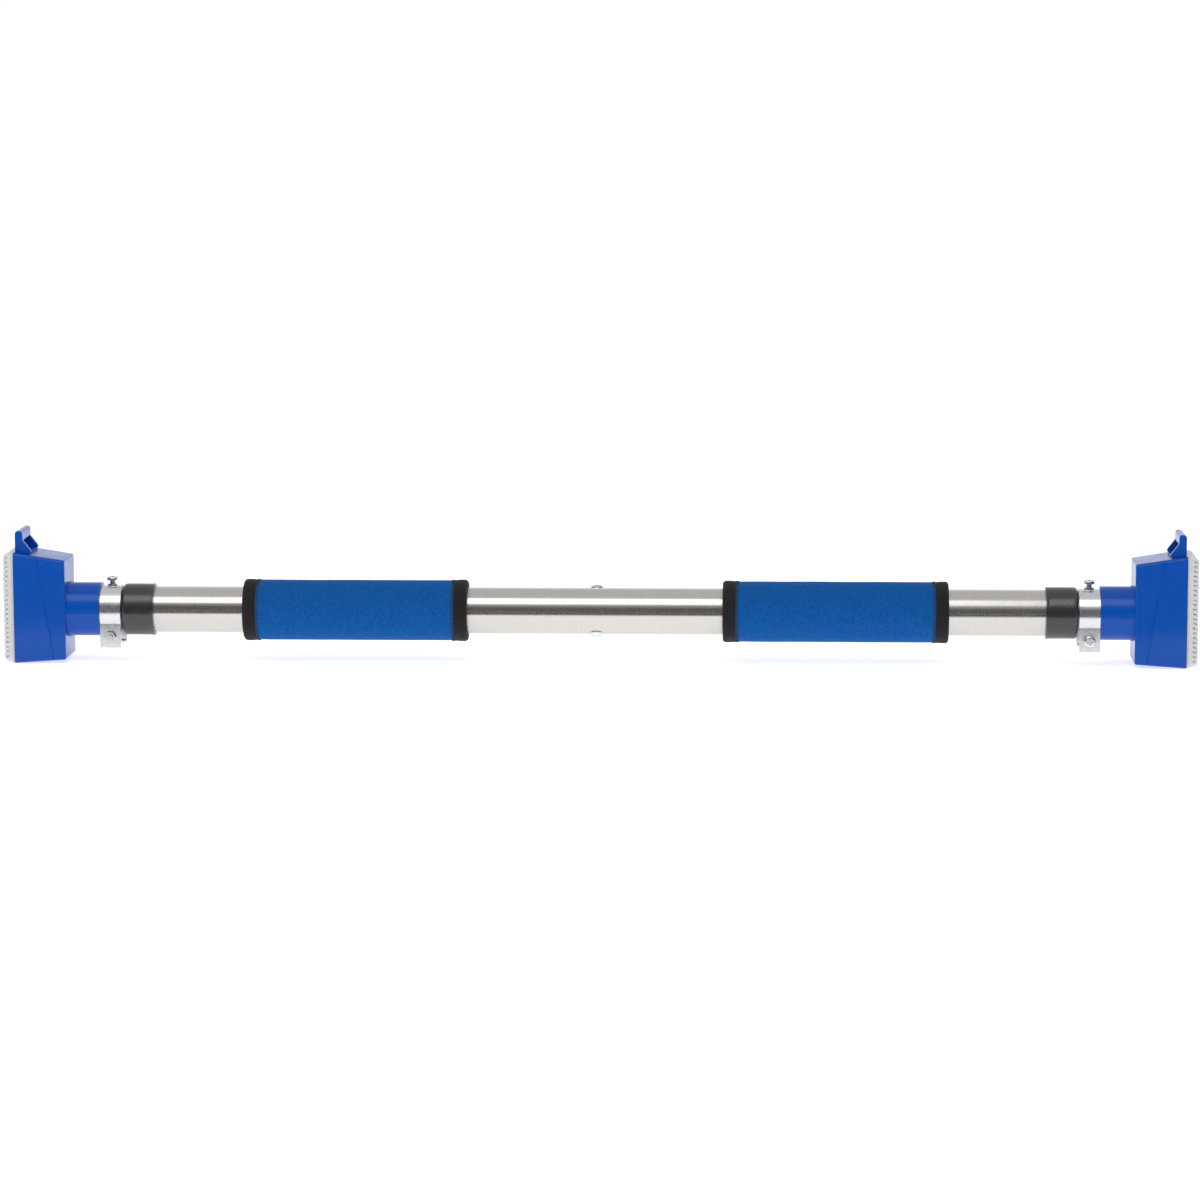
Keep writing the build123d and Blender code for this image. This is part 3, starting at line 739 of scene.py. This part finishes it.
def stitch_row() -> Pattern:
    """A straight row of slanting stitches along the bar, at one height and depth."""
    sizes = {"Start": "Vector", "Stop": "Vector", "Count": "Int", "Length": "Float"}
    pattern = Pattern("stitch_row", {**sizes, "Thread": "Float", "Slant": "Float"})
    graph, given = pattern.graph, pattern.given
    inputs = {"Count": given["Count"], "Start Location": given["Start"], "Offset": given["Stop"]}
    line = graph.add("GeometryNodeMeshLine", inputs, mode="END_POINTS")
    turn = graph.add("ShaderNodeCombineXYZ", {1: zigzag(graph, given["Slant"])})
    inputs = {
        "Points": line.outputs[0],
        "Instance": stitch(graph, given["Length"], given["Thread"]),
        "Rotation": turn.outputs[0],
    }
    pattern.close(graph.add("GeometryNodeInstanceOnPoints", inputs).outputs[0])
    return pattern


# ---- sub-assemblies


@dataclass
class MainTube:
    """The long brushed tube and the rivets at its middle."""

    wall: float = 1.5 * MM
    rim_round: float = 0.4 * MM
    around: int = 192

    def build(self) -> None:
        """Make the tube and the rivets, and dress what is inside."""
        low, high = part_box("main_tube")
        outer, inner = high.z, high.z - self.wall
        outline = rounded([
            (low.x, inner, self.rim_round),
            (high.x, inner, self.rim_round),
            (high.x, outer, self.rim_round),
            (low.x, outer, self.rim_round),
        ], 3)
        tube = lathe("brushed_tube", outline, self.around)
        dress(tube, TUBE_STEEL, "main_bar", ["main_tube"])
        rivets = smooth_copy("centre_rivets", "dome_rivets", 0.0)
        dress(rivets, ZINC, "main_bar", ["centre_rivets"])
        dress_node("tube_liner", INNER_STEEL)


@dataclass
class Grip:
    """One padded grip: a neoprene sleeve with a sewn binding round each end and a seam at the back."""

    side: str
    binding_width: float = 9.0 * MM
    tape: float = 1.2 * MM
    tuck: float = 3.0 * MM
    swell: float = 0.55 * MM
    pucker: float = 0.18 * MM
    pucker_reach: float = 4.5 * MM
    wave: float = 0.16 * MM
    stitch_pitch: float = 3.3 * MM
    stitch_length: float = 3.1 * MM
    stitch_slant: float = 55.0
    stitch_reach: float = 1.0 * MM
    thread: float = 0.6 * MM
    seam_angle: float = 0.78 * TURN
    seam_spread: float = 0.045
    seam_depth: float = 0.5 * MM
    seam_pitch: float = 2.6 * MM
    seam_stitch: float = 2.1 * MM
    seam_thread: float = 0.45 * MM
    seam_slant: float = 40.0
    lap_angle: float = 0.76 * TURN
    lap_spread: float = 0.16
    lap_rise: float = 0.25 * MM
    run: float = 1.3 * MM
    around: int = 144
    sim_frames: int = 20

    def build(self, ring: Pattern, row: Pattern) -> None:
        """Make the sleeve, its bindings and its stitches.

        Args:
            ring: The pattern of the binding's stitches.
            row: The pattern of the seam's stitches.
        """
        self.start, self.radius = self.edges(0)
        self.end = self.edges(1)[0]
        self.tube_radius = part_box("main_tube")[1].z
        self.tape_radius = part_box(f"{self.side}_grip_bindings")[1].z
        self.zigzags = round(TURN * self.radius / self.stitch_pitch)
        self.make_sleeve()
        self.make_bindings()
        self.make_stitches(ring, row)

    def edges(self, which: int) -> tuple[float, float]:
        """The x of the grip's lower or upper edge, and the sleeve's radius."""
        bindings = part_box(f"{self.side}_grip_bindings")
        return bindings[which].x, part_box(f"{self.side}_grip_sleeve")[1].z

    def seam_groove(self, angle: float) -> float:
        """How far the seam at the back pulls the sleeve in at an angle from the top."""
        back = (angle - self.seam_angle + TURN / 2) % TURN - TURN / 2
        return self.seam_depth * math.exp(-((back / self.seam_spread) ** 2))

    def skin(self, x: float, r: float, angle: float) -> float:
        """The sleeve's outer radius, with its puckers, slow waves and seam."""
        if r < self.radius - 0.8 * MM:
            return r
        from_edge = min(x - self.start, self.end - x) - self.binding_width
        near = math.exp(-max(0.0, from_edge) / self.pucker_reach)
        folds = 0.5 + 0.5 * math.cos(self.zigzags * angle)
        spot = Vector((x * 38, math.sin(angle) * 1.1, math.cos(angle) * 1.1))
        waves = noise.noise(spot) * self.wave
        return r + waves - self.pucker * near * folds - self.seam_groove(angle)

    def make_sleeve(self) -> None:
        """Swell the sleeve between its bindings, pucker it along their stitches and close it."""
        inside = self.binding_width - self.tuck
        first, last = self.start + inside, self.end - inside
        plain = self.radius - self.swell
        outer = divided([(first, plain), (last, plain)], self.run, False)
        sleeve = lathe("sleeve_skin", outer, self.around, loop=False)
        swollen = self.swell_heights(sleeve, len(outer))
        bpy.data.objects.remove(sleeve)
        radii = dict(zip([round(x, 6) for x, _ in outer], swollen))
        wall = [(x, radii[round(x, 6)]) for x, _ in outer]
        inner = [(last, self.tube_radius + PRESS_GAP), (first, self.tube_radius + PRESS_GAP)]
        piece = lathe(f"{self.side}_neoprene_sleeve", wall + inner, self.around, self.skin)
        dress(piece, NEOPRENE, "main_bar", [f"{self.side}_grip_sleeve"])

    def swell_heights(self, sleeve: bpy.types.Object, rows: int) -> list[float]:
        """Find how far the foam swells the skin along the grip, by cloth simulation.

        Args:
            sleeve: The open skin, whose two end rings are held.
            rows: How many rings the skin has.

        Returns:
            The skin's mean radius at each ring, capped at the CAD sleeve's radius.
        """
        plain = self.radius - self.swell
        held = sleeve.vertex_groups.new(name="held")
        held.add(list(range(self.around)), 1.0, "REPLACE")
        held.add(list(range((rows - 1) * self.around, rows * self.around)), 1.0, "REPLACE")
        cloth = sleeve.modifiers.new("foam", "CLOTH")
        cloth.settings.quality = 4
        cloth.settings.mass = 0.25
        cloth.settings.tension_stiffness = 12
        cloth.settings.compression_stiffness = 12
        cloth.settings.bending_stiffness = 4
        cloth.settings.use_pressure = True
        cloth.settings.uniform_pressure_force = 4
        cloth.settings.vertex_group_mass = "held"
        cloth.settings.effector_weights.gravity = 0
        cloth.point_cache.frame_start = 1
        cloth.point_cache.frame_end = self.sim_frames
        for number in range(1, self.sim_frames + 1):
            bpy.context.scene.frame_set(number)
        settled = sleeve.evaluated_get(bpy.context.evaluated_depsgraph_get()).data.vertices
        radii = []
        for row in range(rows):
            ring = settled[row * self.around : (row + 1) * self.around]
            radii.append(sum(math.hypot(v.co.y, v.co.z) for v in ring) / self.around)
        bpy.context.scene.frame_set(1)
        most = max(radii) - plain
        share = self.swell / most if most > 0 else 0.0
        log.info("%s grip swells by %.2f mm before its cap", self.side, most / MM)
        return [plain + min(self.swell, (r - plain) * share) for r in radii]

    def tape_skin(self, x: float, r: float, angle: float) -> float:
        """The tape's radius, a little uneven, and thicker where its two ends lap at the back."""
        if r < self.tape_radius - 1.0 * MM:
            return r
        spot = Vector((x * 90, math.sin(angle) * 2.2, math.cos(angle) * 2.2))
        lap = self.lap_rise if abs(angle - self.lap_angle) < self.lap_spread else 0.0
        return r - 0.2 * MM + noise.noise(spot) * 0.14 * MM + lap

    def make_bindings(self) -> None:
        """Fold a tape over each end of the sleeve."""
        bands = []
        under = self.tape_radius - self.tape
        for edge, inward in ((self.start, 1), (self.end, -1)):
            outline = rounded([
                (edge, self.tube_radius + PRESS_GAP, 0.0),
                (edge, self.tape_radius, 2.2 * MM),
                (edge + inward * 0.6 * self.binding_width, self.tape_radius, 3.0 * MM),
                (edge + inward * self.binding_width, self.radius + 0.3 * MM, 0.25 * MM),
                (edge + inward * self.binding_width, under - 0.5 * MM, 0.0),
                (edge + inward * self.tape, under - 0.5 * MM, 0.0),
                (edge + inward * self.tape, self.tube_radius + PRESS_GAP, 0.0),
            ])
            bands.append(lathe("band", divided(outline, 1.2 * MM), self.around, self.tape_skin, crease=60.0))
        piece = joined(f"{self.side}_binding_tapes", bands)
        dress(piece, TAPE, "main_bar", [f"{self.side}_grip_bindings"])

    def make_stitches(self, ring: Pattern, row: Pattern) -> None:
        """Sew the bindings' inner edges down and close the seam at the back."""
        rings = []
        for edge, inward in ((self.start, 1), (self.end, -1)):
            place = edge + inward * (self.binding_width + self.stitch_reach)
            rings.append(ring.make(
                "ring", BLACK_THREAD, Radius=self.radius + 0.12 * MM, Place=place, Count=2 * self.zigzags,
                Length=self.stitch_length, Thread=self.thread, Slant=math.radians(self.stitch_slant),
            ))
        piece = joined(f"{self.side}_binding_stitches", rings)
        dress(piece, BLACK_THREAD, "main_bar")
        depth = self.radius - self.seam_thread
        height = Vector((0.0, -depth * math.sin(self.seam_angle), depth * math.cos(self.seam_angle)))
        clear = self.binding_width + 1.5 * MM
        span = self.end - self.start - 2 * clear
        seam = row.make(
            f"{self.side}_seam_stitches", BLUE_THREAD,
            Start=height + Vector((self.start + clear, 0, 0)), Stop=height + Vector((self.end - clear, 0, 0)),
            Count=round(span / self.seam_pitch), Length=self.seam_stitch, Thread=self.seam_thread,
            Slant=math.radians(self.seam_slant),
        )
        dress(seam, BLUE_THREAD, "main_bar")


@dataclass
class TubeEnd:
    """What sits on and in one end of the tube: the rubber collar and the drive nut."""

    end: End
    shoulder: float = 2.5 * MM
    lip: float = 1.8 * MM
    lip_rise: float = 0.4 * MM
    hole: float = 12.9 * MM
    around: int = 144

    def build(self) -> None:
        """Make the collar and dress the nut."""
        low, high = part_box("right_end_collar")
        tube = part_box("main_tube")[1]
        self.bore = tube.z
        lip_radius = high.z
        radius = lip_radius - self.lip_rise
        outline = rounded([
            (low.x, tube.z + PRESS_GAP, 0.0),
            (low.x, lip_radius, 0.5 * MM),
            (low.x + self.lip, radius, 2.0 * MM),
            (high.x, radius, self.shoulder),
            (high.x, self.hole, 0.5 * MM),
            (tube.x + PRESS_GAP, self.hole, 0.0),
            (tube.x + PRESS_GAP, tube.z + PRESS_GAP, 0.0),
        ], 6)
        collar = lathe(self.end.node("rubber_collar"), divided(outline, 2.0 * MM), self.around, self.skin)
        collar.data.transform(self.end.turn)
        dress(collar, BLACK_RUBBER, "main_bar", [self.end.node("end_collar")])
        dress_node(self.end.node("drive_nut"), NYLON)

    def skin(self, x: float, r: float, angle: float) -> float:
        """The collar's radius: pushed on by hand, it isn't quite even."""
        if r < self.bore + 1.0 * MM:
            return r
        spot = Vector((x * 70, math.sin(angle) * 1.3, math.cos(angle) * 1.3))
        return r - 0.08 * MM + noise.noise(spot) * 0.12 * MM


@dataclass
class ScrewTube:
    """The threaded tube that screws out of one end, with its guide bush and clip."""

    end: End
    lead: float = 5.0 * MM
    depth: float = 0.9 * MM
    wall: float = 2.0 * MM
    thread_start: float = 174.0 * MM
    thread_end: float = 327.0 * MM
    run_out: float = 4.0 * MM
    journal_radius: float = 11.3 * MM
    groove_radius: float = 11.5 * MM
    groove_width: float = 5.0 * MM
    groove_x: float = 335.8 * MM
    bush_gap: float = 0.3 * MM
    chamfer: float = 0.6 * MM
    row: float = 0.42 * MM
    around: int = 90

    def build(self) -> None:
        """Make the tube with its rolled thread, and dress the bush and the clip."""
        low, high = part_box("right_threaded_tube")
        self.radius = radius = high.z
        bore = radius - self.wall
        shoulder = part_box("right_guide_bush")[1].x + self.bush_gap
        half = self.groove_width / 2
        plain = [
            (low.x, bore),
            (low.x, self.journal_radius),
            (shoulder, self.journal_radius),
            (shoulder, radius),
            (self.thread_start, radius),
        ]
        rows = round((self.thread_end - self.thread_start) / self.row)
        thread = [(self.thread_start + self.row * step, radius) for step in range(1, rows)]
        tail = [
            (self.thread_end, radius),
            (self.groove_x - half, radius),
            (self.groove_x - half, self.groove_radius),
            (self.groove_x + half, self.groove_radius),
            (self.groove_x + half, radius),
            (high.x - self.chamfer, radius),
            (high.x, radius - self.chamfer),
            (high.x, bore),
        ]
        tube = lathe(self.end.node("screw_tube"), plain + thread + tail, self.around, self.skin)
        tube.data.transform(self.end.turn)
        body = self.end.node("rod")
        dress(tube, INNER_STEEL, body, [self.end.node("threaded_tube")])
        dress_node(self.end.node("guide_bush"), NYLON)
        dress_node(self.end.node("bush_clip"), INNER_STEEL)

    def skin(self, x: float, r: float, angle: float) -> float:
        """The tube's radius, with a round rolled thread that is right-handed at one end only."""
        if r < self.radius or not self.thread_start < x < self.thread_end:
            return r
        hand = 1 if self.end is End.RIGHT else -1
        fade = min(1.0, (x - self.thread_start) / self.run_out, (self.thread_end - x) / self.run_out)
        phase = TURN * x / self.lead + hand * angle
        return r - self.depth * fade * (0.5 + 0.5 * math.cos(phase)) ** 1.5


@dataclass
class ClampRing:
    """The zinc-plated clamp ring on the collet, with its bolt, washer, nut and lock screw."""

    end: End
    strap_edge: float = 0.22 * MM
    screw_edge: float = 0.10 * MM

    def build(self) -> None:
        """Make the ring and its fasteners."""
        support = self.end.node("support")
        pieces = (
            ("lock_ring", "clamp_strap", self.strap_edge, support),
            ("clamp_nut", "hex_nut", self.screw_edge, support),
            ("clamp_bolt", "strap_bolt", self.screw_edge, self.end.node("clamp_bolt_body")),
            ("clamp_washer", "strap_washer", self.screw_edge, self.end.node("clamp_bolt_body")),
            ("lock_screw", "top_screw", self.screw_edge, self.end.node("lock_screw_body")),
        )
        for node, name, edge, body in pieces:
            piece = smooth_copy(self.end.node(node), self.end.node(name), edge)
            dress(piece, ZINC, body, [self.end.node(node)])


@dataclass
class WallSupport:
    """One wall support: the neck half and the wall half of its housing, and the rubber pad."""

    end: End
    plastic_edge: float = 0.30 * MM
    pad_edge: float = 0.22 * MM

    def build(self) -> None:
        """Make the two halves and the pad, and dress what they hide."""
        support = self.end.node("support")
        pieces = (
            ("neck_shell", "neck_half", self.plastic_edge, BLUE_PLASTIC, "blue_plastic"),
            ("wall_shell", "wall_half", self.plastic_edge, BLUE_PLASTIC, "blue_plastic"),
            ("wall_pad", "tread_pad", self.pad_edge, PAD_RUBBER, "pad_rubber"),
        )
        for node, name, edge, finish, slot in pieces:
            piece = smooth_copy(self.end.node(node), self.end.node(name), edge)
            dress(piece, finish, support, [self.end.node(node)])
        dress_node(self.end.node("thrust_plate"), INNER_STEEL)
        dress_node(self.end.node("thrust_plate_screws"), ZINC)
        dress_node(self.end.node("shell_screws"), ZINC)


# ---- studio


@dataclass
class Studio:
    """The floor, the lights and the camera. Each fade is the span of a direction's part that it takes."""

    azimuth: float = 2.6
    elevation: float = 8.0
    distance: float = 2.9
    lens: float = 126.5
    sensor: float = 36.0
    roll: float = -0.12
    aim: tuple[float, float, float] = (1.1 * MM, 0.0, 7.6 * MM)
    floor_size: float = 120.0
    floor_gap: float = 0.2 * MM
    flag_start: float = 0.15
    flag_size: tuple[float, float] = (5.0, 3.0)
    backdrop: float = 1.05
    overhead: float = 0.64
    dark: float = 0.13
    backdrop_fade: tuple[float, float] = (0.25, 0.65)
    front_fade: tuple[float, float] = (0.36, 0.70)
    side_fade: tuple[float, float] = (-0.25, 0.1)
    softbox_place: tuple[float, float] = (-0.38, 56.0)
    softbox_size: tuple[float, float] = (2.1, 0.92)
    softbox_away: float = 1.8
    softbox_power: float = 10.5

    def build(self) -> None:
        """Set up the whole studio."""
        self.make_floor()
        self.make_flag()
        self.make_air()
        self.make_softbox()
        self.make_camera()

    def make_floor(self) -> None:
        """Lay a wide sheet of paper under the housings."""
        floor = bmesh.new()
        bmesh.ops.create_grid(floor, x_segments=1, y_segments=1, size=self.floor_size / 2)
        bmesh.ops.translate(floor, verts=floor.verts, vec=(0, 0, cad_box[0].z - self.floor_gap))
        paper = from_bmesh("studio_floor", floor)
        paper.data.materials.append(PAPER.material())

    def make_flag(self) -> None:
        """Lay a black card on the floor in front of the bar, which only the bar's reflections show."""
        card = bmesh.new()
        bmesh.ops.create_grid(card, x_segments=1, y_segments=1, size=0.5)
        wide, deep = self.flag_size
        bmesh.ops.scale(card, verts=card.verts, vec=(wide, deep, 1.0))
        middle = Vector((0.0, -self.flag_start - deep / 2, cad_box[0].z))
        bmesh.ops.translate(card, verts=card.verts, vec=middle)
        flag = from_bmesh("studio_flag", card)
        flag.data.materials.append(BLACK_RUBBER.material())
        flag.visible_camera = False
        flag.visible_diffuse = False
        flag.visible_transmission = False
        flag.visible_shadow = False

    def make_air(self) -> None:
        """Light the room: a bright backdrop, a half-lit ceiling, and little light from the viewer."""
        world = bpy.data.worlds.new("studio_air")
        world.use_nodes = True
        graph = Graph(world.node_tree)
        direction = graph.add("ShaderNodeTexCoord").outputs["Generated"]
        parts = graph.add("ShaderNodeSeparateXYZ", {0: direction}).outputs
        far = graph.remap(parts[2], self.backdrop_fade, (self.backdrop, self.overhead))
        near = graph.remap(parts[2], self.front_fade, (self.dark, self.overhead))
        behind = graph.remap(parts[1], self.side_fade, (0.0, 1.0))
        before = graph.math("SUBTRACT", 1.0, behind)
        strength = graph.math("MULTIPLY_ADD", far, behind, graph.math("MULTIPLY", near, before))
        air = graph.add("ShaderNodeBackground", {"Color": (1.0, 1.0, 1.0, 1.0), "Strength": strength})
        output = graph.add("ShaderNodeOutputWorld")
        graph.join(air.outputs[0], output.inputs["Surface"])
        bpy.context.scene.world = world

    def make_softbox(self) -> None:
        """Hang a softbox in front of the bar, above its left half."""
        light = bpy.data.lights.new("softbox", "AREA")
        light.shape = "RECTANGLE"
        light.size, light.size_y = self.softbox_size
        light.energy = self.softbox_power
        lamp = bpy.data.objects.new("softbox", light)
        aside, rise = self.softbox_place[0], math.radians(self.softbox_place[1])
        back = Vector((0.0, -math.cos(rise), math.sin(rise)))
        facing = back.to_track_quat("Z", "Y").to_matrix().to_4x4()
        lamp.matrix_world = Matrix.Translation(back * self.softbox_away + Vector((aside, 0.0, 0.0))) @ facing
        bpy.context.scene.collection.objects.link(lamp)

    def make_camera(self) -> None:
        """Point a long lens at the middle of the bar."""
        lens = bpy.data.cameras.new("camera")
        lens.sensor_width = self.sensor
        lens.lens = self.lens
        lens.clip_start = 0.1
        lens.clip_end = 200.0
        camera = bpy.data.objects.new("camera", lens)
        turn, rise = math.radians(self.azimuth), math.radians(self.elevation)
        back = Vector((math.sin(turn) * math.cos(rise), -math.cos(turn) * math.cos(rise), math.sin(rise)))
        looking = (-back).to_track_quat("-Z", "Y").to_matrix().to_4x4()
        rolled = looking @ Matrix.Rotation(math.radians(self.roll), 4, "Z")
        camera.matrix_world = Matrix.Translation(Vector(self.aim) + back * self.distance) @ rolled
        bpy.context.scene.collection.objects.link(camera)
        bpy.context.scene.camera = camera


def main() -> None:
    """Build the bar from its middle outwards, then the studio round it."""
    logging.basicConfig(level=logging.INFO, format="%(message)s")
    bpy.context.scene.view_settings.view_transform = "Standard"
    MainTube().build()
    ring, row = stitch_ring(), stitch_row()
    for side in ("left", "right"):
        Grip(side).build(ring, row)
    for end in End:
        TubeEnd(end).build()
        ScrewTube(end).build()
        ClampRing(end).build()
        WallSupport(end).build()
    Studio().build()


if __name__ == "__main__":
    main()
